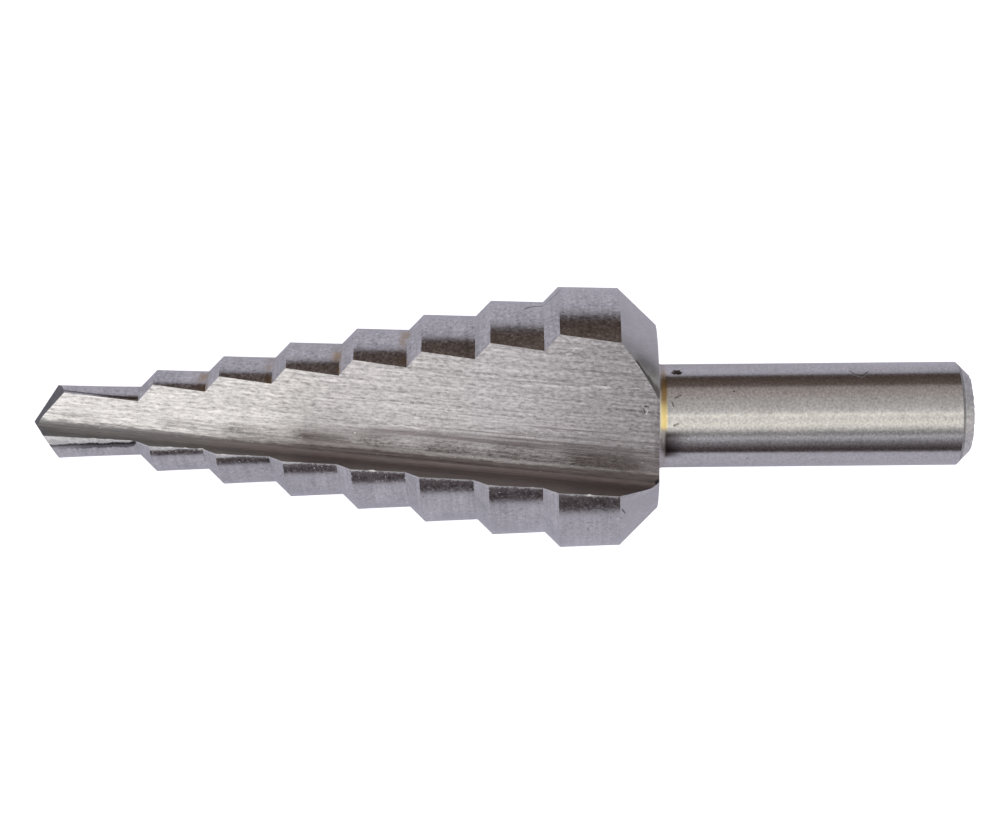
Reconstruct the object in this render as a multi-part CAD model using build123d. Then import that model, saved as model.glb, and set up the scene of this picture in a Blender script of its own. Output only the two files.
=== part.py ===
from build123d import *
from math import asin, cos, degrees, radians, sin, tan
import os

# A step drill, turned and ground from one bar of steel. A plain round shank carries a head of
# stepped cylinders that rise from the point, joined by 45 degree faces. Two straight V flutes
# leave two lands. Each land is relieved behind its cutting edge, and the point has a lip and a
# heel facet on each land.
# The tool lies on the edges of its lower flute with the point down and the other flute opening
# up. Its axis runs along X with the point at -X. Millimetres and degrees.

# ---- lengths along the tool, from the tip of the point ----
overall_length = 70.8
nose_length = 9.36        # tip to the front corner of the second step
step_pitch = 5.08         # from one step's front corner to the next
last_step_length = 4.43
back_chamfer_length = 3.0
shank_chamfer = 1.0

# ---- diameters ----
step_count = 8
first_diameter = 6.0
diameter_rise = 2.0       # each step is this much larger than the one before
back_face_diameter = 13.86
shank_diameter = 7.8
shank_root_radius = 0.45

# ---- grinding of the lands ----
step_face_angle = 45.0    # faces between the steps, measured from the axis
back_taper = 1.6          # each step narrows towards the shank, on each side
radial_relief = 0.21      # how far the heel lies inside the cutting circle
axial_relief = 0.20       # how far the heel lies behind the cutting edge along the axis

# ---- flutes: a straight V whose bottom climbs from the web to the rim of the back face ----
flute_angle = 83.5        # between the two walls
rake_lean = 14.0          # the wall of the cutting edge leans back by this from the vertical
root_angle = 48.9         # where the bottom of the V lies, round the axis from the vertical
root_radius = 1.0
web_radius = 0.50         # from the axis to the bottom of the V, at the tip

# ---- point ----
ridge_angle = 90.0        # where the two facets of a land meet, round the axis from the vertical
ridge_half_angle = 56.0   # slope of that ridge, measured from the axis
lip_fall = 11.0           # the lip facet falls away from the ridge, towards the lip
heel_fall = 36.0          # the heel facet falls away from the ridge, towards the heel

first_radius = first_diameter / 2
radius_rise = diameter_rise / 2
last_radius = first_radius + radius_rise * (step_count - 1)
shank_radius = shank_diameter / 2
back_face_radius = back_face_diameter / 2
last_front = nose_length + step_pitch * (step_count - 2)
back_corner = last_front + last_step_length
back_face = back_corner + back_chamfer_length
taper = tan(radians(back_taper))


def round_axis(x, radius, angle):
    """A point at this angle round the tool, measured from straight up towards +Y."""
    return (x, radius * sin(radians(angle)), radius * cos(radians(angle)))


def root_distance_at(x):
    """Distance from the axis to the bottom of the flute's V, which climbs to the rim."""
    return web_radius + (back_face_radius - web_radius) * x / back_face


def edge_angle_at(x, radius):
    """How far round the axis from the vertical the cutting edge lies at this radius."""
    wall_offset = root_distance_at(x) * sin(radians(root_angle - rake_lean))
    return rake_lean + degrees(asin(wall_offset / radius))


def heel_angle_at(x, radius):
    """How far round the axis from the vertical, the other way, the heel lies."""
    heel_lean = flute_angle - rake_lean
    wall_offset = root_distance_at(x) * sin(radians(root_angle + heel_lean))
    return heel_lean - degrees(asin(wall_offset / radius))


last_edge = edge_angle_at(last_front, last_radius)
last_heel = heel_angle_at(last_front, last_radius - radial_relief)
land_span = 180 - last_edge - last_heel


def step_corners():
    """Corners of the stepped outline at the cutting edge, from the point to the back."""
    corners = [(-1.0, first_radius)]
    for step in range(1, step_count):
        radius = first_radius + radius_rise * step
        front = nose_length + step_pitch * (step - 1)
        length_before = front - corners[-1][0] if step > 1 else nose_length
        rear_radius = radius - radius_rise - taper * length_before
        face_length = (radius - rear_radius) / tan(radians(step_face_angle))
        corners.append((front - face_length, rear_radius))
        corners.append((front, radius))
    corners.append((back_face + 1.0, last_radius - taper * (back_face + 1.0 - last_front)))
    return corners


def core_radius_at(x):
    """Radius of the cone that stays under the lands, just inside the steps' inner corners."""
    slope = radius_rise / step_pitch
    inner = first_radius + slope * (x - nose_length)
    return inner - radial_relief - 0.1 * first_radius


def blank():
    """The turned bar: head, back chamfer, and shank with its chamfered end."""
    outline = Polyline(
        (-2.0, 0),
        (-2.0, last_radius + 1.0),
        (back_corner, last_radius + 1.0),
        (back_corner, last_radius - taper * last_step_length),
        (back_face, back_face_radius),
        (back_face, shank_radius),
        (overall_length - shank_chamfer, shank_radius),
        (overall_length, shank_radius - shank_chamfer),
        (overall_length, 0),
        close=True,
    )
    profile = make_face(outline)
    shank_root = profile.vertices().sort_by_distance((back_face, shank_radius))[0]
    profile = fillet(shank_root, shank_root_radius)
    return revolve(profile, Axis.X, 360)


def core():
    """The solid middle that joins the two lands, and the full bar behind them."""
    flange = back_corner + back_chamfer_length / 3
    outline = Polyline(
        (-1.0, 0),
        (-1.0, core_radius_at(-1.0)),
        (flange, core_radius_at(flange)),
        (flange, last_radius + 2.0),
        (overall_length + 1.0, last_radius + 2.0),
        (overall_length + 1.0, 0),
        close=True,
    )
    return revolve(make_face(outline), Axis.X, 360)


def relieved_land(edge):
    """One land: the stepped outline carried round the axis while a cam draws it in and back."""
    corners = step_corners()
    sections = []
    for behind in range(-28, 150, 28):
        inward = radial_relief * sin(radians(90 * behind / land_span))
        backward = axial_relief * behind / land_span
        outer = [(x + backward, r - inward) for x, r in corners]
        inner = [(x, core_radius_at(x) / 2) for x in (outer[-1][0], outer[0][0])]
        points = [round_axis(x, r, edge - behind) for x, r in outer + inner]
        sections.append(make_face(Polyline(*points, close=True)))
    return loft(sections)


def flute():
    """The swept V that the grinding wheel leaves, straight along its climbing bottom line."""
    start = -2.0
    end = back_face + 6.0
    reach = 3 * last_radius
    _, y, z = round_axis(0, root_distance_at(start), -root_angle)
    rake_side = round_axis(0, reach, -rake_lean)
    heel_side = round_axis(0, reach, flute_angle - rake_lean)
    bottom = (y, z)
    outline = Polyline(
        bottom,
        (y + rake_side[1], z + rake_side[2]),
        (y + heel_side[1], z + heel_side[2]),
        close=True,
    )
    section = make_face(outline)
    section = fillet(section.vertices().sort_by_distance(bottom)[0], root_radius)
    across_tool = Plane(origin=(start, 0, 0), x_dir=(0, 1, 0), z_dir=(1, 0, 0))
    climb = root_distance_at(1.0) - root_distance_at(0.0)
    path = Vector(*round_axis(1.0, climb, -root_angle))
    return extrude(across_tool * section, amount=(end - start) * path.length, dir=path)


def point_facet(ridge, fall, towards):
    """A plane through the tip that holds the ridge and falls away to one side of it."""
    along = Vector(*round_axis(1 / tan(radians(ridge_half_angle)), 1.0, ridge))
    across = Vector(*round_axis(tan(radians(fall)), 1.0, ridge + towards))
    normal = along.cross(across)
    if normal.X > 0:
        normal = -normal
    return Plane(origin=(0, 0, 0), x_dir=along, z_dir=normal)


def step_drill():
    """Bar, lands, flutes and point, in the order in which the tool is made."""
    lands = [relieved_land(edge) for edge in (-last_edge, 180 - last_edge)]
    drill = blank() & (core() + lands[0] + lands[1])
    for turn in (0, 180):
        drill -= flute().rotate(Axis.X, turn)
        for fall, towards in ((lip_fall, 90), (heel_fall, -90)):
            facet = point_facet(ridge_angle - turn, fall, towards)
            drill = split(drill, bisect_by=facet, keep=Keep.BOTTOM)
    return drill


def resting_plane():
    """The surface under the tool: it touches two corners of the last step and one of the lip."""
    edge_corner = Vector(*round_axis(last_front, last_radius, 180 - last_edge))
    heel_front = last_front + axial_relief
    heel_corner = Vector(*round_axis(heel_front, last_radius - radial_relief, 180 + last_heel))
    lip = 180 - edge_angle_at(0, first_radius)
    from_ridge = radians(lip - ridge_angle)
    rise = cos(from_ridge) / tan(radians(ridge_half_angle))
    rise += sin(from_ridge) * tan(radians(lip_fall))
    lip_corner = Vector(*round_axis(rise * first_radius, first_radius, lip))
    upward = (heel_corner - edge_corner).cross(lip_corner - edge_corner).normalized()
    if upward.Z < 0:
        upward = -upward
    along = Vector(1, 0, 0) - upward * upward.X
    return Plane(origin=edge_corner, x_dir=along, z_dir=upward)


os.makedirs("parts", exist_ok=True)
drill = resting_plane().to_local_coords(step_drill())
box = drill.bounding_box()
drill = Pos(-box.center().X, -box.center().Y, -box.min.Z) * drill
export_step(drill, "parts/step_drill.step")
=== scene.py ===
from math import asin, atan2, cos, degrees, radians, sin, tan

import bmesh
import bpy
from mathutils import Matrix, Vector, noise
from mathutils.geometry import delaunay_2d_cdt


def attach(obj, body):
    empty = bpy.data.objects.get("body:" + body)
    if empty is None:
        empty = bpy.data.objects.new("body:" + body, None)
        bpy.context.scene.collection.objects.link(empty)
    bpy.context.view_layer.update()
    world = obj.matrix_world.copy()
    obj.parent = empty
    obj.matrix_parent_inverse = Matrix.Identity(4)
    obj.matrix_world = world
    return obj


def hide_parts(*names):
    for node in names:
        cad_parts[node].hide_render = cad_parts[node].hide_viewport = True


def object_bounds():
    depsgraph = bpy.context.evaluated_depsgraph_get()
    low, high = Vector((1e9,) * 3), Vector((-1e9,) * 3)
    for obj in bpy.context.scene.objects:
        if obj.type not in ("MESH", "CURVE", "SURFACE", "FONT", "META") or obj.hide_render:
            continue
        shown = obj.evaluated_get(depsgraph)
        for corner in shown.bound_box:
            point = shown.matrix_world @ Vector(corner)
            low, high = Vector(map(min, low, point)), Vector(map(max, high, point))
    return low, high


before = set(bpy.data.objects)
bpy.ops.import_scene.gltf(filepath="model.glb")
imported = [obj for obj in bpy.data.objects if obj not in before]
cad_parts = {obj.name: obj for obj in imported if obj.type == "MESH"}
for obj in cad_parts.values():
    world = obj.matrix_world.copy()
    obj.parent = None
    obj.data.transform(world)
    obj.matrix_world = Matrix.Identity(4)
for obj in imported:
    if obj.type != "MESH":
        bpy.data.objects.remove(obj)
cad_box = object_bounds()

# ---------------------------------------------------------------------------------------------
# The step drill: one bar of high-speed steel, turned to a shank and a stepped head and then ground
# with eight relieved steps, two straight V flutes and a four-facet point. Nothing is fitted to it,
# so it is one piece, laid out in millimetres along its own axis, with its tip at the origin.

# lengths along the tool and radii, as turned
overall_length = 70.8
nose_length = 9.36          # from the tip to the front corner of the second step
step_pitch = 5.08           # from one step's front corner to the next
last_step_length = 4.43
back_chamfer_length = 3.0
shank_chamfer = 1.0
step_count = 8
first_radius = 3.0
radius_rise = 1.0           # from each step to the next
back_face_radius = 6.93
shank_radius = 3.9
shank_root_radius = 0.45
last_radius = first_radius + radius_rise * (step_count - 1)
last_front = nose_length + step_pitch * (step_count - 2)
back_corner = last_front + last_step_length
back_face = back_corner + back_chamfer_length

# relief of the lands and the shape of the flutes, as ground
back_taper = 1.6            # each step narrows towards the shank, on each side
radial_relief = 0.21        # how far the heel lies inside the cutting circle
axial_relief = 0.20         # and how far behind the cutting edge, along the tool
flute_angle = 83.5          # between the flute's two walls
rake_lean = 14.0            # the wall of the cutting edge leans back by this from the vertical
root_angle = 48.9           # where the flute's bottom lies, round the axis from the vertical
root_radius = 1.0
web_radius = 0.50           # from the axis to the bottom of the V, at the tip
taper = tan(radians(back_taper))
heel_lean = flute_angle - rake_lean

# the point, as ground
ridge_half_angle = 56.0     # slope of the ridge between a land's two facets, from the axis
ridge_turn = 90.0           # where that ridge lies, round the axis from the vertical
lip_fall = 11.0             # how far the lip's facet falls away from the ridge
heel_fall = 36.0            # and the heel's facet


def round_axis(x, radius, angle):
    """A point at this angle round the tool, measured from straight up towards +Y."""
    return Vector((x, radius * sin(radians(angle)), radius * cos(radians(angle))))


def turned(point):
    """The same point on the other side of the tool, which is alike when turned by 180 degrees."""
    return Vector((point.x, -point.y, -point.z))


def flute_bottom(x):
    """The bottom of the flute's V, which climbs from the web to the rim of the back face."""
    distance = web_radius + (back_face_radius - web_radius) * x / back_face
    return round_axis(x, distance, -root_angle)


flute_climb = flute_bottom(1.0) - flute_bottom(0.0)
to_rake = round_axis(0, 1, -rake_lean)
to_heel = round_axis(0, 1, heel_lean)
to_middle = round_axis(0, 1, heel_lean - flute_angle / 2)
up_wall = to_heel - to_rake
root_tangent = root_radius / tan(radians(flute_angle / 2))
root_centre = root_radius / sin(radians(flute_angle / 2))


def across(a, b):
    """The cross product of two arms, as seen along the tool."""
    return a.y * b.z - a.z * b.y


def open_flute(point):
    """How far a point stands off the flute's walls, measured square to the axis."""
    arm = point - flute_bottom(point.x)
    off_rake = -across(to_rake, arm)
    off_heel = across(to_heel, arm)
    if off_rake < root_radius and off_heel < root_radius:
        arm = arm - root_centre * to_middle
        return root_radius - Vector((arm.y, arm.z)).length
    return min(off_rake, off_heel)


def edge_angle(x, radius):
    """How far round the axis from the vertical the cutting edge lies at this radius."""
    offset = (flute_bottom(x).length_squared - x * x) ** 0.5
    return rake_lean + degrees(asin(offset * sin(radians(root_angle - rake_lean)) / radius))


def heel_angle(x, radius):
    """How far round the axis from the vertical, the other way, the heel lies."""
    offset = (flute_bottom(x).length_squared - x * x) ** 0.5
    return heel_lean - degrees(asin(offset * sin(radians(root_angle + heel_lean)) / radius))


last_edge = edge_angle(last_front, last_radius)
last_heel = heel_angle(last_front, last_radius - radial_relief)
land_span = 180 - last_edge - last_heel


def relief(angle):
    """How far the land has fallen back along the tool, and in, at an angle round the axis."""
    behind = 180 - last_edge - angle
    return axial_relief * behind / land_span, radial_relief * sin(radians(90 * behind / land_span))


# a land runs out into the flute somewhere between these angles, found by halving the gap
halvings = 44
heel_search = (10, 75)
edge_search = (-20, -75)


def crossing(on_surface, open_side, solid_side):
    """The angle between these two at which a surface passes through the flute's wall."""
    for _ in range(halvings):
        middle = (open_side + solid_side) / 2
        if open_flute(on_surface(middle)) > 0:
            open_side = middle
        else:
            solid_side = middle
    return (open_side + solid_side) / 2


# how many strips each part of the section is laid out in, narrower towards the cutting edge
land_strips = 40
wall_strips = 22
root_strips = 10
rake_strips = 9
half_row = land_strips + wall_strips + root_strips + rake_strips
strip_growth = 1.35


def section(on_land):
    """Half of one ring round the head, from the cutting edge over the land and down the flute.

    on_land gives the land's surface at an angle round the axis. The other half is this one
    turned by 180 degrees.
    """
    heel = crossing(on_land, *heel_search)
    start = 180 + crossing(lambda angle: turned(on_land(180 + angle)), *edge_search)
    ring = []
    for strip in range(land_strips):
        ring.append(on_land(start + (heel - start) * (strip / land_strips) ** strip_growth))
    heel_point = on_land(heel)
    edge_point = turned(on_land(start))
    bottom = flute_bottom(edge_point.x)
    centre = bottom + root_centre * to_middle
    wall_foot = bottom + root_tangent * to_heel
    rake_foot = bottom + root_tangent * to_rake
    if (heel_point - wall_foot).dot(to_heel) < 0:
        wall_foot = heel_point
    if (edge_point - rake_foot).dot(to_rake) < 0:
        rake_foot = edge_point
    for strip in range(wall_strips):
        ring.append(heel_point.lerp(wall_foot, strip / wall_strips))
    first_arm = wall_foot - centre
    last_arm = rake_foot - centre
    sweep = atan2(across(first_arm, last_arm), first_arm.y * last_arm.y + first_arm.z * last_arm.z)
    for strip in range(root_strips):
        turn = Matrix.Rotation(sweep * strip / root_strips, 3, "X")
        ring.append(centre + turn @ first_arm)
    for strip in range(rake_strips):
        ring.append(rake_foot.lerp(edge_point, strip / rake_strips))
    return ring


def land_surface(x, radius):
    """The relieved land through one corner of the stepped outline."""
    def on_land(angle):
        back, inward = relief(angle)
        return round_axis(x + back, radius - inward, angle)
    return on_land


ridge_slope = 1 / tan(radians(ridge_half_angle))


def lip_facet(y, z):
    """How far back from the tip the lip's facet lies, at y and z off the axis."""
    return ridge_slope * y - tan(radians(lip_fall)) * z


def heel_facet(y, z):
    """How far back from the tip the heel's facet lies, at y and z off the axis."""
    return ridge_slope * y + tan(radians(heel_fall)) * z


def point_height(y, z):
    """How far back from the tip the point's surface lies, with both lands' facets."""
    lip = lip_facet(y, z)
    heel = heel_facet(y, z)
    return max(lip, heel, -lip, -heel)


# two surfaces that depend on each other are brought together in this many rounds
rounds = 12


def nose_surface(angle):
    """Where the first step's land runs out on the facets of the point."""
    point = Vector((first_radius / 2, 0, 0))
    back, inward = relief(angle)
    for _ in range(rounds):
        narrowed = taper * (point.x - back + radius_rise)
        point = round_axis(point.x, first_radius - narrowed - inward, angle)
        point.x = point_height(point.y, point.z)
    return point


def past_chisel(point):
    """Which side of the chisel edge a point is on: there a heel's facet meets the other lip's."""
    return lip_facet(point.y, point.z) + heel_facet(point.y, point.z)


def nose_section():
    """The first ring, moved along the flute's walls until it lies on the point's facets.

    Also gives the numbers of the two points in it at which a ridge of the point ends.
    """
    ring = section(nose_surface)
    for number in range(land_strips, half_row):
        point = ring[number]
        for _ in range(rounds):
            point = point + (point_height(point.y, point.z) - point.x) * flute_climb
        ring[number] = point
    side = min(range(1, land_strips), key=lambda n: abs(ring[n].z))
    ring[side] = nose_surface(ridge_turn)
    chisel = half_row - 1
    for number in range(land_strips + 1, half_row - 1):
        here, there = past_chisel(ring[number]), past_chisel(ring[number + 1])
        if here > 0 >= there:
            chisel = number if here < -there else number + 1
            point = ring[number].lerp(ring[number + 1], here / (here - there))
            point.x = point_height(point.y, point.z)
            ring[chisel] = point
    return ring, (side, chisel)


# the back chamfer, turned from the end of the last step down to the back face
chamfer_start = last_radius - taper * last_step_length
chamfer_fall = (chamfer_start - back_face_radius) / back_chamfer_length


def chamfer_radius(x):
    return chamfer_start - chamfer_fall * (x - back_corner)


def back_corner_surface(angle):
    """Where the last step's relieved land meets the turned back chamfer."""
    back, inward = relief(angle)
    land_at_tip = last_radius + taper * (last_front + back) - inward
    x = (chamfer_radius(0) - land_at_tip) / (chamfer_fall - taper)
    return round_axis(x, chamfer_radius(x), angle)


def chamfer_surface(share):
    """The back chamfer at this share of the way from its corner to the back face."""
    def on_chamfer(angle):
        start = back_corner_surface(angle).x
        x = start + (back_face - start) * share
        return round_axis(x, chamfer_radius(x), angle)
    return on_chamfer


# rings from the nose to the rim of the back face, each with the name of the surface before it,
# and how many rows of faces each stretch is laid out in
nose_rows = 34
step_rows = 22
face_rows = 5
chamfer_rows = 14
nose_ring, ridge_ends = nose_section()
rings = [(nose_ring, "land")]


def run_to(ring, count, surface):
    """Fills in rings between the last one and this one, then adds this one."""
    before = rings[-1][0]
    for number in range(1, count):
        share = number / count
        rings.append(([a.lerp(b, share) for a, b in zip(before, ring)], surface))
    rings.append((ring, surface))


front_before = 0.0
rows = nose_rows
for step in range(1, step_count):
    radius = first_radius + radius_rise * step
    front = nose_length + step_pitch * (step - 1)
    rear_radius = radius - radius_rise - taper * (front - front_before)
    rear = front - (radius - rear_radius)
    run_to(section(land_surface(rear, rear_radius)), rows, "land")
    run_to(section(land_surface(front, radius)), face_rows, "land")
    front_before = front
    rows = step_rows
run_to(section(back_corner_surface), step_rows, "land")
for row in range(1, chamfer_rows + 1):
    run_to(section(chamfer_surface(row / chamfer_rows)), 1, "chamfer")

# what the finish needs to know at each place, in millimetres: where it is on the tool, how far
# it lies behind the cutting edge, and how far along a flute and up from the flute's bottom
bm = bmesh.new()
on_tool = bm.verts.layers.float_vector.new("on_tool")
behind_edge = bm.loops.layers.float.new("behind_edge")
in_flute = bm.loops.layers.float_vector.new("in_flute")

# each of these has a steel of its own further down, in this order
surfaces = ("land", "flute", "chamfer", "shank", "end", "point")

# the cutting edges are chipped in some places and carry a burr in others, apart from the lip and
# the corner that the tool rests on
chip_turns = 1.7
chip_threshold = 0.18
chip_depth = 0.22
burr_turns = 2.9
burr_threshold = 0.30
burr_height = 0.10
sound_at_corner = 1.5
sound_at_lip = 4.0

# where in the noise the chips, the burrs and the second flute's own are found
chip_seed = 2.0
burr_seed = 9.0
flute_seed = 5.0


def worn(point, flute):
    """A point of the cutting edge of this flute, with its chips and burrs."""
    seed = flute * flute_seed
    chip = noise.noise(Vector((point.x * chip_turns, seed, chip_seed))) - chip_threshold
    burr = noise.noise(Vector((point.x * burr_turns, seed, burr_seed))) - burr_threshold
    wear = min(1.0, abs(point.x - last_front) / sound_at_corner, point.x / sound_at_lip)
    arm = Vector((0, point.y, point.z)).normalized()
    return point + arm * wear * (burr_height * max(0.0, burr) - chip_depth * max(0.0, chip))


def whole_ring(half):
    """The points of one ring right round the head, and how far each lies along half of it."""
    both = [half, [turned(p) for p in half]]
    for flute, points in enumerate(both):
        points[0] = worn(points[0], flute)
    verts = [bm.verts.new(p) for p in both[0] + both[1]]
    walk = [0.0]
    for here, there in zip(half, half[1:] + [turned(half[0])]):
        walk.append(walk[-1] + (there - here).length)
    return verts, walk


def skin(first, second, surface, walks=None):
    """Joins two rings with faces; in the flutes the surface is always the flute's."""
    for strip in range(2 * half_row):
        after = (strip + 1) % (2 * half_row)
        flute, start = divmod(strip, half_row)
        face = bm.faces.new((first[strip], second[strip], second[after], first[after]))
        face.smooth = True
        face.material_index = surfaces.index(surface)
        if walks is None:
            continue
        if start >= land_strips:
            face.material_index = surfaces.index("flute")
        end = start + 1
        for loop, ring, number in zip(face.loops, (0, 1, 1, 0), (start, start, end, end)):
            point = turned(loop.vert.co) if flute else loop.vert.co
            loop[behind_edge] = walks[ring][number]
            loop[in_flute] = (point.x, (point - flute_bottom(point.x)).dot(up_wall), flute)


nose_verts, walk_before = whole_ring(rings[0][0])
before = nose_verts
for half, surface in rings[1:]:
    ring, walk = whole_ring(half)
    skin(before, ring, surface, (walk_before, walk))
    before, walk_before = ring, walk

# back face, fillet, shank and its chamfered end, all round the same strips
rim = [Vector((0, v.co.y, v.co.z)) for v in before]
fillet_radius = shank_radius + shank_root_radius
shank_start = back_face + shank_root_radius
shank_end = overall_length - shank_chamfer
end_radius = shank_radius - shank_chamfer
fillet_rows = 6
shank_rows = 24
end_rows = 6

# the end face is rough, so its rim has lost a little metal, unevenly, inwards and forwards
sound_middle = 1.0
rim_loss = 0.06
rim_even_loss = 0.4
rim_forward_loss = 0.6
rim_turns = (2.6, 6.0)


def round_ring(x, radius):
    """A ring of the turned part, ragged where it is on the end face."""
    ring = []
    for arm in rim:
        out = arm.normalized()
        point = out * radius + Vector((x, 0, 0))
        if x == overall_length and radius > sound_middle:
            uneven = sum(noise.noise(point * turns) for turns in rim_turns)
            loss = rim_loss * max(0.0, rim_even_loss + uneven)
            point -= out * loss + Vector((rim_forward_loss * loss, 0, 0))
        ring.append(bm.verts.new(point))
    return ring


middle = []
for arm in rim:
    halfway = arm.lerp(arm.normalized() * fillet_radius, 0.5)
    middle.append(bm.verts.new(halfway + Vector((back_face, 0, 0))))
skin(before, middle, "end")
before = middle
outline = [(back_face, fillet_radius, "end")]
for row in range(1, fillet_rows + 1):
    turn = radians(90 * row / fillet_rows)
    x = back_face + shank_root_radius * (1 - cos(turn))
    outline.append((x, fillet_radius - shank_root_radius * sin(turn), "shank"))
for row in range(1, shank_rows + 1):
    x = shank_start + (shank_end - shank_start) * row / shank_rows
    outline.append((x, shank_radius, "shank"))
for row in range(end_rows):
    outline.append((overall_length, end_radius * (1 - row / end_rows), "end"))
for x, radius, surface in outline:
    ring = round_ring(x, radius)
    skin(before, ring, surface)
    before = ring
centre = bm.verts.new((overall_length, 0, 0))
for here, there in zip(before, before[1:] + before[:1]):
    face = bm.faces.new((here, centre, there))
    face.material_index = surfaces.index("end")

# the facets of the point, filled in across the end of the first step
same_place = 1e-7
shortest_edge = 1e-6
flat = [Vector((v.co.y, v.co.z)) for v in nose_verts]
count = len(flat)
borders = [(n, (n + 1) % count) for n in range(count)]
borders += [(n + turn, count) for n in ridge_ends for turn in (0, half_row)]
tip = Vector((0, 0))
spots, _, corner_lists, origins, _, _ = delaunay_2d_cdt(flat + [tip], borders, [], 1, same_place)
cap = []
for spot, source in zip(spots, origins):
    known = [nose_verts[n] for n in source if n < count]
    cap += known[:1] or [bm.verts.new((point_height(spot.x, spot.y), spot.x, spot.y))]
for corners in corner_lists:
    face = bm.faces.new([cap[n] for n in corners])
    face.material_index = surfaces.index("point")

bmesh.ops.dissolve_degenerate(bm, edges=bm.edges, dist=shortest_edge)
bmesh.ops.recalc_face_normals(bm, faces=bm.faces)

# it lies on its lower flute, on both corners of the last step and on the end of the lip
edge_corner = round_axis(last_front, last_radius, 180 - last_edge)
heel_corner = turned(round_axis(last_front + axial_relief, last_radius - radial_relief, last_heel))
lip_corner = round_axis(0, first_radius, 180 - edge_angle(0, first_radius))
lip_corner.x = lip_facet(lip_corner.y, lip_corner.z)
upward = (heel_corner - edge_corner).cross(lip_corner - edge_corner).normalized()
if upward.z < 0:
    upward = -upward
forward = (Vector((1, 0, 0)) - upward * upward.x).normalized()
lying = Matrix((forward, upward.cross(forward), upward))
laid_points = [lying @ vert.co * 0.001 for vert in bm.verts]
low, high = [Vector(map(pick, zip(*laid_points))) for pick in (min, max)]
cad_low, cad_high = map(Vector, cad_box)
shift = (cad_low + cad_high - low - high) / 2
shift.z = cad_low.z - low.z
resting = Matrix.Translation(shift) @ lying.to_4x4()
for vert in bm.verts:
    vert[on_tool] = vert.co
    vert.co = resting @ (vert.co * 0.001)
shape = bpy.data.meshes.new("step_drill_ground")
bm.to_mesh(shape)
bm.free()
tool = bpy.data.objects.new("ground_step_drill", shape)
bpy.context.collection.objects.link(tool)

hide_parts("step_drill")
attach(tool, "root")

edge_softening = 0.03
sharpest_kept = 24
softened = tool.modifiers.new("softened edges", "BEVEL")
softened.width = edge_softening * 0.001
softened.segments = 2
softened.limit_method = "ANGLE"
softened.angle_limit = radians(sharpest_kept)
softened.harden_normals = True
softened.use_clamp_overlap = True

# its finish: bare steel all over, and each surface keeps the marks of the wheel or tool that cut it
steel_grey = (0.62, 0.61, 0.60)
pit_and_shadow_black = (0.06, 0.05, 0.05)


class Value:
    """A number, place or colour that a material works out at every point of its surface.

    Values add up and multiply as numbers do, and each sum is one more node of the material.
    """

    def __init__(self, socket):
        self.socket = socket
        self.tree = socket.id_data

    def then(self, operation, *others):
        """What one Math or Vector Math node makes of this value and these others."""
        kind = "Math" if self.socket.type == "VALUE" else "VectorMath"
        return worked(self.tree, kind, self, *others, operation=operation)

    def __add__(self, other):
        return self.then("ADD", other)

    def __sub__(self, other):
        return self.then("SUBTRACT", other)

    def __rsub__(self, number):
        return self.then("MULTIPLY_ADD", -1.0, number)

    def __mul__(self, other):
        return self.then("MULTIPLY", other)

    def __truediv__(self, other):
        return self.then("DIVIDE", other)

    __radd__ = __add__
    __rmul__ = __mul__


def worked(tree, kind, *sources, **settings):
    """What a new node works out from its sources, in the order of the sockets that it shows."""
    node = tree.nodes.new("ShaderNode" + kind)
    for setting, value in settings.items():
        setattr(node, setting, value)
    sockets = [socket for socket in node.inputs if socket.enabled]
    for socket, source in zip(sockets, sources):
        if isinstance(source, Value):
            tree.links.new(source.socket, socket)
        elif source is not None:
            socket.default_value = (*source, 1) if socket.type == "RGBA" else source
    return next(Value(socket) for socket in node.outputs if socket.enabled)


def given(tree, kind, name):
    """What a new node with no sources knows under this name."""
    return Value(tree.nodes.new("ShaderNode" + kind).outputs[name])


def bare_steel(surface, spread):
    """The shader of a new steel, whose highlights are spread across the marks in its surface."""
    steel = bpy.data.materials.new("steel_" + surface)
    steel.use_nodes = True
    shader = steel.node_tree.nodes["Principled BSDF"]
    shader.inputs["Metallic"].default_value = 1
    shader.inputs["Anisotropic"].default_value = spread
    shape.materials.append(steel)
    return shader


def kept_in_mesh(shader, name):
    """What the mesh keeps at each of its places under this name."""
    known = given(shader.id_data, "Attribute", "Fac" if name == "behind_edge" else "Vector")
    known.socket.node.attribute_name = name
    return known


def split(place):
    """The three parts of a place."""
    return [Value(part) for part in worked(place.tree, "SeparateXYZ", place).socket.node.outputs]


def shaded(colour, level):
    """A colour made lighter or darker by this level."""
    return worked(level.tree, "VectorMath", colour, level, operation="SCALE")


def most(first, *others):
    """The largest of these values."""
    for other in others:
        first = first.then("MAXIMUM", other)
    return first


def marks(place, turns, detail=3.0, roughness=0.6):
    """Noise with this many turns to a millimetre, alike in each direction or as given for it."""
    turns = turns if isinstance(turns, tuple) else (turns, turns, turns)
    return worked(place.tree, "TexNoise", place * turns, 1.0, detail, roughness)


def swing(level, noise_value, weight):
    """A level that a noise moves up and down by half this weight."""
    return level + (noise_value - 0.5) * weight


def rise(value, low, high):
    """0 below low and 1 above high, or the other way round when low is the greater."""
    return worked(value.tree, "MapRange", value, low, high, 0.0, 1.0, interpolation_type="SMOOTHSTEP")


def within(value, start, full, fading, end):
    """1 between full and fading, and 0 before start and after end."""
    return rise(value, start, full) * rise(value, end, fading)


def dimmed(level, loss, share):
    """A level that loses this much of itself where share is 1."""
    return level * (1 - share * loss)


def tint(under, over, share):
    """One colour with this share of another one over it."""
    return worked(share.tree, "Mix", share, under, over, data_type="RGBA")


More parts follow.
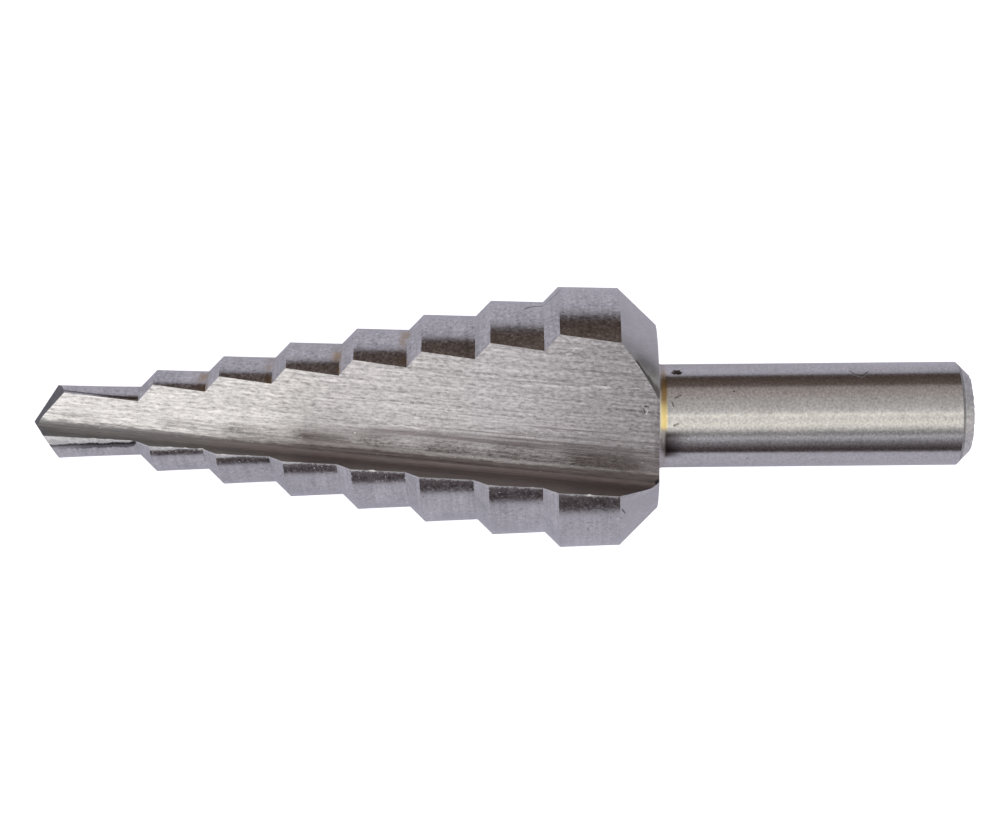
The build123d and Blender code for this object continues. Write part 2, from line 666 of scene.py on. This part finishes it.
def finish(shader, colour, roughness, height, depth, across_marks=None):
    """Joins up a steel: depth is that of its marks in millimetres."""
    bump = worked(height.tree, "Bump", 1.0, depth * 0.001, None, height)
    results = {"Base Color": colour, "Roughness": roughness, "Normal": bump, "Tangent": across_marks}
    for name, value in results.items():
        if value is not None:
            value.tree.links.new(value.socket, shader.inputs[name])


def as_laid(direction):
    """A direction on the tool, as it is once the tool lies down."""
    return tuple(lying @ Vector(direction))


def in_world(tree, direction):
    """The same direction, as a shader wants it."""
    return worked(tree, "VectorTransform", direction, vector_type="VECTOR",
                  convert_from="OBJECT", convert_to="WORLD")


def along_tool(shader):
    return in_world(shader.id_data, as_laid((1, 0, 0)))


# a scratch is as deep as it gets over this share of its width
deep_share = 0.35


def scratch(place, points, width):
    """How much a place lies on a scratch that runs straight from point to point of the tool."""
    parts = []
    for start, end in zip(points, points[1:]):
        run = Vector(end) - Vector(start)
        arm = place - start
        share = arm.then("DOT_PRODUCT", tuple(run / run.length_squared))
        nearest = shaded(tuple(run), worked(place.tree, "Clamp", share, 0.0, 1.0))
        parts.append(rise((arm - nearest).then("LENGTH"), width, width * deep_share))
    return most(*parts)


def straying(place, reach, turns):
    """A place moved a little at random, so that what is drawn by it is ragged."""
    cloud = worked(place.tree, "TexNoise", place, turns, 3.0).socket.node.outputs["Color"]
    return place + (Value(cloud) - (0.5, 0.5, 0.5)) * (reach, reach, reach)


# the lands and the faces between steps: cylindrically ground, so the marks run round the tool
off_axis = (0.0, 1.0, 1.0)
shader = bare_steel("land", spread=0.5)
place = kept_in_mesh(shader, "on_tool")
along, side, up = split(place)
outward = (place * off_axis).then("LENGTH")
lay = worked(place.tree, "CombineXYZ", along + outward, side, up)
lines = marks(lay, (3.6, 0.12, 0.12))
patches = marks(place, 0.5, detail=2.0)
grain = marks(place, 4.2)
level = swing(0.94, lines, 0.60)
level = swing(level, patches, 0.40)
level = swing(level, grain, 1.0 + 0.65 * rise(side, 0.0, 3.0))
colour = shaded(steel_grey, level)

# burnt brown in the inner corners of the middle steps, towards the heel
step_share = ((along - nose_length) / step_pitch).then("FRACT")
towards_heel = side * up / (outward * outward)
burnt = within(step_share, 0.64, 0.77, 0.82, 0.87) * rise(towards_heel, 0.10, 0.35)
burnt = burnt * within(along, 10.5, 11.5, 29.5, 30.5) * rise(swing(patches, grain, 0.5), 0.38, 0.58)
colour = tint(colour, (0.42, 0.28, 0.13), burnt * 0.75)

# pits, and a crack up the face of the last step
crack = ((37.48, 8.02, 3.39), (37.85, 8.19, 2.93), (38.74, 8.28, 2.61), (39.19, 8.64, 2.61),
         (39.94, 9.19, 3.30))
pits = rise(marks(place, 4.3, detail=1.0, roughness=0.5), 0.725, 0.76)
pitted = most(pits, scratch(place, crack, width=0.15))
colour = tint(colour, pit_and_shadow_black, pitted * 0.8)

# bright specks, and painted highlights in a strip along the cutting edge and in a wedge behind each
# corner
behind = kept_in_mesh(shader, "behind_edge")
specks = marks(place, 5.3, detail=1.0, roughness=0.5) + 0.12 * rise(behind, 1.8, 0.3)
edge_highlight = rise(swing(behind, grain, 0.9), 0.20, 0.0)
on_first = rise(along, 8.6, 7.8)
along_step = along.then("MINIMUM", step_share * step_pitch + on_first * overall_length)
highlight_wedge = most(0.52 * rise(along, 44.0, 0.0), 1.12 * on_first) - 0.125 * along_step
highlight_wedge = highlight_wedge - swing(swing(behind, patches, 0.4), grain, 0.5)
specks_and_highlights = most(rise(specks, 0.83, 0.85), edge_highlight * 0.8, rise(highlight_wedge, -0.05, 0.12))
colour = tint(colour, shaded((0.86, 0.86, 0.86), swing(1.0, grain, 0.9)), specks_and_highlights)

# painted shade: a dark rim round the highlight wedge of the first step, and a dark line along that
# step's heel
shaded_wedge_rim = within(highlight_wedge, -0.62, -0.42, 0.0, 0.10) * on_first * rise(along, 0.5, 5.5)
heel_shade_line = scratch(place, ((2.6, 2.29, 1.40), (8.2, 1.66, 1.94)), width=0.12)
colour = tint(colour, (0.11, 0.10, 0.10), 0.85 * most(heel_shade_line, shaded_wedge_rim))
roughness = swing(swing(0.21, patches, 0.10), grain, 0.34) + 0.48 * specks_and_highlights
height = lines + 1.5 * grain - 1.5 * pitted
finish(shader, colour, roughness, height, depth=0.003, across_marks=along_tool(shader))

# the flutes: ground by a wheel fed along them, and darker and browner towards the bottom. Their places
# are along the flute, up from its bottom, and 0 in the one flute and 1 in the other
shader = bare_steel("flute", spread=0.4)
place = kept_in_mesh(shader, "in_flute")
along, up, second_flute = split(place)
flutes_apart = 37.0
own = place * (1.0, 1.0, flutes_apart)
wavy = straying(own, reach=0.10, turns=0.8)
fine = marks(wavy, (1.0, 5.6, 1.0), detail=4.0, roughness=0.74)
lanes = marks(own, (0.09, 5.0, 1.0))
broad = marks(own, (0.09, 1.3, 1.0))
grain = marks(own, (2.6, 6.0, 1.0), detail=2.0)
level = swing(0.99, fine, 1.85 - 0.65 * rise(along, 25.0, 39.0))
level = swing(level, lanes, 1.20)
level = swing(level, broad, 0.40)
level = swing(level, grain, 1.30)

# painted shade past the middle, in a hollow there and towards the back; darker too in a band just above
# the dark bottom
level = dimmed(level, 0.10, rise(along, 17.0, 23.0))
level = dimmed(level, 0.16, within(along, 17.5, 22.0, 23.5, 29.0) * rise(up, 5.5, 2.5))
level = dimmed(level, 0.48, within(up, 0.40, 0.70, 0.88, 1.15) * rise(along, 10.0, 18.0))
level = dimmed(level, 0.25, rise(along, 34.0, 47.0))
grey = tint((0.625, 0.604, 0.592), (0.62, 0.592, 0.612), rise(along, 12.0, 46.0))
colour = shaded(grey, level)

# dark streaks, closer together towards the bottom, at a tide line, in a smudge and in a smear
low_down = up - 2.3 * rise(along, 15.0, 36.0)
closeness = rise(low_down, 2.1, -0.9) * (0.50 + 0.35 * rise(along, 39.0, 44.0))
closeness = dimmed(closeness, 0.55, within(up, 0.70, 0.95, 1.5, 2.0) * rise(along, 42.5, 39.0))
tide = within(up - 0.65 * rise(along, 22.0, 30.0), 0.90, 1.40, 1.60, 2.10) * rise(along, 17.0, 24.0)
smudge = ((wavy - (22.4, 1.10, 0.0)) * (0.45, 1.5, 0.0)).then("LENGTH")
smudge = rise(swing(smudge, grain, 1.0), 1.15, 0.7) * (1 - second_flute)
smear = scratch(straying(place, reach=0.9, turns=1.5), ((44.4, 2.2, 0.0), (46.2, 1.2, 0.0)), width=0.75)
closeness = most(closeness, 0.70 * tide, 0.80 * smudge, smear)
streaks = marks(straying(own, reach=0.05, turns=0.5), (0.06, 4.2, 1.0), detail=4.0, roughness=0.70)
streaked = 0.85 * rise(swing(streaks, grain, 0.15) + 0.28 * closeness, 0.62, 0.70)
streaked = most(streaked, tide * swing(0.42, fine, 1.2))
colour = tint(colour, shaded((0.235, 0.205, 0.205), swing(1.0, fine, 1.2)), streaked)

# darker and browner in the bottom, ragged at its upper edge, which is straighter towards the back
further_back = rise(along, 16.0, 26.0)
edge_strays = (swing(0.7 * broad, fine, 0.9) - 0.35) * (1 - 0.62 * further_back)
dark_bottom = rise(up + edge_strays - 0.14 * rise(along, 34.0, 46.0),
             0.95 - 0.20 * further_back, 0.15 + 0.38 * further_back)
level = 0.95 + 0.38 * within(up, -1.7, -0.9, -0.3, 0.1)
level = level - 0.40 * (rise(up, -0.15, 0.2) * rise(along, 12.0, 26.0))
level = swing(level, marks(own, (0.04, 8.0, 1.0), detail=4.0, roughness=0.75), 1.6)
level = swing(swing(level, fine, 0.9), lanes, 0.8)
brown = tint((0.22, 0.215, 0.215), (0.225, 0.193, 0.187), rise(along, 6.0, 22.0))
colour = tint(colour, shaded(brown, level), dark_bottom)

# glints among the streaks, and long bright scratches
glints = rise(marks(own, (2.4, 5.5, 1.0), detail=1.0, roughness=0.5), 0.72, 0.78)
glints = glints * rise(low_down, 2.0, 0.9) * rise(up, -0.1, 0.2)
colour = tint(colour, (0.80, 0.78, 0.76), 0.6 * glints)
long_scratches = (
    ((37.6, 6.17, 0.0), (45.8, 6.62, 0.0), 0.11),
    ((27.2, 2.62, 0.0), (29.9, 2.46, 0.0), 0.10),
    ((40.5, 8.53, 0.0), (41.1, 8.91, 0.0), 0.10),
    ((41.1, 8.91, 0.0), (42.1, 9.23, 0.0), 0.10),
)
ragged = straying(place, reach=0.25, turns=1.5)
for start, end, width in long_scratches:
    line = scratch(ragged, (start, end), width=width) * rise(fine, 0.40, 0.60)
    colour = tint(colour, (0.88, 0.86, 0.85), 0.75 * line)
roughness = swing(swing(0.26, fine, 0.20), grain, 0.30) + 0.16 * dark_bottom

# nicks at the back of the wall, and painted highlights along a nick's rim and along the line where the
# wall meets the chamfer
on_wall = kept_in_mesh(shader, "on_tool")
ragged = straying(on_wall, reach=0.30, turns=3.0)
nicks = most(
    rise(ragged.then("DISTANCE", (47.2, -4.95, 4.95)), 0.32, 0.20),
    scratch(ragged, ((46.08, 0.50, 6.57), (46.20, 0.22, 6.47)), width=0.08),
    scratch(ragged, ((46.24, 0.66, 6.63), (46.44, 0.60, 6.62)), width=0.08),
)
colour = tint(colour, (0.035, 0.03, 0.03), 0.9 * nicks)
rim_highlight_line = ((45.45, 3.95, 7.76), (45.98, 3.25, 7.52), (47.30, 1.05, 6.76))
nick_highlight_rim = ((46.20, 0.46, 6.55), (46.40, 0.36, 6.52), (46.28, 0.10, 6.43))
edge_highlights = most(scratch(on_wall, rim_highlight_line, width=0.06), scratch(on_wall, nick_highlight_rim, width=0.06))
colour = tint(colour, (0.86, 0.85, 0.83), 0.7 * edge_highlights)

# the wheel's marks run along the flute, which climbs to one side here and to the other there
climb = (0.0, flute_climb.y, flute_climb.z)
feed = shaded(climb, 1 - 2 * second_flute) + (1.0, 0.0, 0.0)
laid_feed = [feed.then("DOT_PRODUCT", tuple(row)) for row in lying]
laid_feed = in_world(place.tree, worked(place.tree, "CombineXYZ", *laid_feed))
across_feed = laid_feed.then("CROSS_PRODUCT", given(place.tree, "NewGeometry", "Normal"))
finish(shader, colour, roughness, fine + 0.5 * grain, depth=0.006, across_marks=across_feed)

# the back chamfer: ground with the wheel fed down its slope, so the marks fan out from the shank
shader = bare_steel("chamfer", spread=0.3)
place = kept_in_mesh(shader, "on_tool")
fan = (place * off_axis).then("NORMALIZE") * (8.0, 8.0, 8.0) + place
lines = marks(fan, (0.10, 2.2, 2.2))
patches = marks(place, 0.6, detail=2.0)
grain = marks(place, 7.0, detail=2.0)
level = swing(0.96, lines, 0.35)
level = swing(level, patches, 0.35)
level = swing(level, grain, 0.30)
# painted shade: darker towards the flute's rim at the back
level = dimmed(level, 0.42, scratch(place, ((46.2, 2.9, 7.4), (47.4, 1.1, 6.8)), width=2.1))
colour = shaded(steel_grey, level)

# pits, a nick by the cutting edge, and a painted shadow along the flute's rim that widens to the back
rim_shadow = ((45.60, 3.84, 7.70), (46.40, 2.66, 7.32), (46.95, 1.80, 7.05), (47.35, 1.10, 6.78))
rim_shadow_widths = (0.30, 0.50, 0.80)
edge_nick = ((44.43, -6.77, 6.96), (44.67, -7.09, 6.30))
pitted = most(rise(marks(place, 3.4, detail=1.0, roughness=0.5), 0.74, 0.78),
              scratch(straying(place, reach=0.30, turns=3.0), edge_nick, width=0.09),
              *[scratch(place, rim_shadow[n:n + 2], width=width) for n, width in enumerate(rim_shadow_widths)])
colour = tint(colour, pit_and_shadow_black, pitted * 0.8)
roughness = swing(0.26, patches, 0.15)
height = lines + 0.35 * grain - 1.5 * pitted
finish(shader, colour, roughness, height, depth=0.004, across_marks=along_tool(shader))

# the shank: ground to size, with a rough root that has a straw heat tint, and marks of use
shader = bare_steel("shank", spread=0.7)
place = kept_in_mesh(shader, "on_tool")
along, side, up = split(place)
past_root = along - back_face
lines = marks(place, (5.5, 0.15, 0.15))
patches = marks(place, 0.35, detail=2.0)
grain = marks(place, 5.5)
level = swing(0.97, lines, 0.12)
level = swing(level, patches, 0.16)
level = swing(level, grain, 1.10)
colour = shaded(steel_grey, level)
roughness = swing(swing(0.185, patches, 0.05), grain, 0.16)
roughness = roughness + 0.22 * rise(swing(past_root, grain, 0.25), 0.68, 0.56)

# the straw heat tint, made stronger and bright gold on one side by painted highlight; painted shade
# darkens the root on the opposite side
heat_tint_and_highlight = within(swing(past_root, patches, 0.4), 0.15, 0.35, 0.60, 0.80)
heat_tint_and_highlight = heat_tint_and_highlight * (0.15 + 0.85 * within(side, -1.3, -0.8, 2.0, 3.9))
straw_and_highlight = tint((0.50, 0.34, 0.13), (1.0, 0.80, 0.34), within(side, -1.3, -0.9, 0.5, 1.3))
colour = tint(colour, straw_and_highlight, 0.92 * heat_tint_and_highlight)
painted_root_shade = within(side, -3.3, -2.9, -1.5, -1.0) * rise(up, 0.0, 0.5)
painted_root_shade = painted_root_shade * rise(swing(past_root, patches, 1.2), 2.4, 0.5) * rise(past_root, 0.40, 0.62)
colour = tint(colour, (0.07, 0.052, 0.045), 0.95 * painted_root_shade)

# a rusty pit by the root, two specks, and small scratches
ragged = straying(place, reach=0.75, turns=3.0)
rusty_pit = ((ragged - (48.80, 3.17, 2.2)) * (1.05, 1.6, 1.6)).then("LENGTH")
dark = rise(rusty_pit, 0.60, 0.42)
for speck in ((52.88, 1.78, 3.47), (53.98, -3.21, 2.21)):
    dark = most(dark, rise(ragged.then("DISTANCE", speck), 0.11, 0.06))
small_scratches = (
    (((48.54, 1.30, 3.67), (48.99, 1.52, 3.59)), 0.09),
    (((48.31, 1.00, 3.77), (48.45, 0.71, 3.83)), 0.09),
    (((48.43, -0.77, 3.82), (48.75, -0.62, 3.85)), 0.08),
    (((61.68, 3.21, 2.21), (61.99, 2.90, 2.60), (62.49, 2.74, 2.77), (63.00, 3.12, 2.33)), 0.07),
)
ragged = straying(place, reach=0.15, turns=4.0)
for points, width in small_scratches:
    dark = most(dark, 0.6 * scratch(ragged, points, width=width))
colour = tint(colour, (0.048, 0.026, 0.014), dark)
height = lines + 0.5 * grain - 4.0 * dark
finish(shader, colour, roughness + 0.25 * dark, height, depth=0.003, across_marks=along_tool(shader))

# the back face and the end of the shank: faced on the lathe, with rings about the middle
shader = bare_steel("end", spread=0.0)
place = kept_in_mesh(shader, "on_tool")
along, side, _ = split(place)
outward = (place * off_axis).then("LENGTH")
lines = marks(worked(place.tree, "CombineXYZ", outward, along, 0.0), (4.0, 0.3, 1.0))
patches = marks(place, 0.7, detail=2.0)
grain = marks(place, 4.5)
level = swing(0.92, lines, 0.40)
level = swing(level, patches, 0.30)
level = swing(level, grain, 1.20)
level = dimmed(level, 0.45, within(outward, 3.62, 3.72, 3.90, 3.95))
# painted highlight: lighter and warmer on one side
colour = shaded(tint(steel_grey, (0.79, 0.77, 0.73), rise(side, 0.8, -1.2)), level)
finish(shader, colour, swing(0.36, patches, 0.18), lines + grain, depth=0.012)

# the point: four facets ground dull, with straight marks across them
shader = bare_steel("point", spread=0.0)
place = kept_in_mesh(shader, "on_tool")
lines = marks(place, (1.0, 1.0, 7.0))
grain = marks(place, 8.0, detail=2.0)
level = swing(swing(0.25, lines, 0.25), grain, 0.40)
finish(shader, shaded(steel_grey, level), swing(0.38, grain, 0.15), lines + grain, depth=0.006)

# ---------------------------------------------------------------------------------------------
# The floor: a sheet of white paper under the tool, greyer away from the light. It shows white
# and keeps the tool's shadow.
half_sheet = 2.0
corners = [(-half_sheet, -half_sheet, 0), (half_sheet, -half_sheet, 0),
           (half_sheet, half_sheet, 0), (-half_sheet, half_sheet, 0)]
floor_mesh = bpy.data.meshes.new("floor")
floor_mesh.from_pydata(corners, [], [(0, 1, 2, 3)])
floor = bpy.data.objects.new("floor", floor_mesh)
bpy.context.collection.objects.link(floor)
paper = bpy.data.materials.new("white_paper")
paper.use_nodes = True
sheet = paper.node_tree
sheet.nodes.clear()
brightest_place = (0.0, -0.03, 0.0)
from_light = given(sheet, "NewGeometry", "Position") - brightest_place
far_off = rise(from_light.then("LENGTH"), 0.05, 0.21)
matt = worked(sheet, "BsdfDiffuse", tint((0.67, 0.67, 0.80), (0.12, 0.10, 0.10), far_off))
seen = given(sheet, "LightPath", "Is Camera Ray") * (0.80 + 0.12 * far_off)
glow = worked(sheet, "Emission", (1, 1, 1), seen)
shown = worked(sheet, "AddShader", matt, glow)
sheet.links.new(shown.socket, sheet.nodes.new("ShaderNodeOutputMaterial").inputs["Surface"])
floor_mesh.materials.append(paper)

# ---------------------------------------------------------------------------------------------
# The studio: a tent of soft white panels over the tool, with the dark room showing in the gaps
# between them and low down on both sides. A wider panel stands off the point of the tool.
world = bpy.data.worlds.new("tent")
bpy.context.scene.world = world
world.use_nodes = True
tent = world.node_tree
tent.nodes.clear()
direction = given(tent, "TexCoord", "Generated")
from_shank = direction.then("DOT_PRODUCT", as_laid((1, 0, 0)))
from_side = direction.then("DOT_PRODUCT", as_laid((0, 1, 0)))
from_above = direction.then("DOT_PRODUCT", as_laid((0, 0, 1)))

# angle round the tool from straight up, then how bright it is there
bands = [
    (-94, 0.06), (-84, 0.06), (-76, 0.12), (-70, 0.20), (-64, 0.26), (-58, 0.42), (-52, 0.60),
    (-45, 0.30), (-40, 0.34), (-30, 0.85), (-22, 1.12), (-9, 0.90), (-1, 1.15), (5, 0.78),
    (12, 0.62), (28, 0.52), (62, 0.36), (69, 0.14), (94, 0.08),
]
round_tool = from_side.then("ARCTAN2", from_above)
turn_share = worked(tent, "MapRange", round_tool, radians(-180), radians(180), 0.0, 1.0)
brightness = worked(tent, "ValToRGB", turn_share)
stops = brightness.socket.node.color_ramp.elements
stops.remove(stops[-1])
for number, (angle, strength) in enumerate(bands):
    share = (angle + 180) / 360
    stop = stops[0] if number == 0 else stops.new(share)
    stop.position = share
    stop.color = (strength, strength, strength, 1)

# the gaps are brown, the panels white, and each side has its own cast
lower_side = rise(from_side, -0.55, -0.80)
gap_tone = tint((1.0, 0.74, 0.64), (1.0, 0.75, 0.76), lower_side)
tone = tint(gap_tone, (1.0, 0.97, 0.96), rise(brightness, 0.0, 0.30))
tone = tint(tone, (1.0, 0.97, 0.90), rise(brightness, 0.75, 1.05))
tone = tone * tint((1, 1, 1), (1.0, 0.92, 0.89), rise(from_side, 0.40, 0.80))
tone = tone * tint((1, 1, 1), (0.975, 0.975, 1.08), lower_side)
over_tool = shaded(tone, brightness)
point_panel = rise(from_shank, -0.12, -0.42) * rise(brightness, 0.12, 0.28)
shank_panel = 0.80 * rise(from_shank, 0.80, 0.95)
light = tint(over_tool, (1.36, 1.35, 1.34), most(point_panel, shank_panel))
light = tint(light, (1, 1, 1), given(tent, "LightPath", "Is Camera Ray"))
shown = worked(tent, "Background", light, 1.0)
tent.links.new(shown.socket, tent.nodes.new("ShaderNodeOutputWorld").inputs["Surface"])

# ---------------------------------------------------------------------------------------------
# The camera looks square onto the tool's axis, into the upper flute. Its place is measured from
# the tip of the tool, in millimetres as the mesh is, and its turns are small ones in degrees.
look = bpy.data.cameras.new("camera")
camera = bpy.data.objects.new("camera", look)
bpy.context.collection.objects.link(camera)
camera_place = Vector((39.202, -0.831, 173.924))
camera_turns = ((0.308, "X"), (1.228, "Y"), (-0.522, "Z"))
look.sensor_width = 36
look.lens = 82.592
look.clip_start = 0.01
aim = resting @ Matrix.Translation(camera_place * 0.001)
for turn, axis in camera_turns:
    aim = aim @ Matrix.Rotation(radians(turn), 4, axis)
camera.matrix_world = aim
bpy.context.scene.camera = camera
bpy.context.scene.view_settings.view_transform = "Standard"
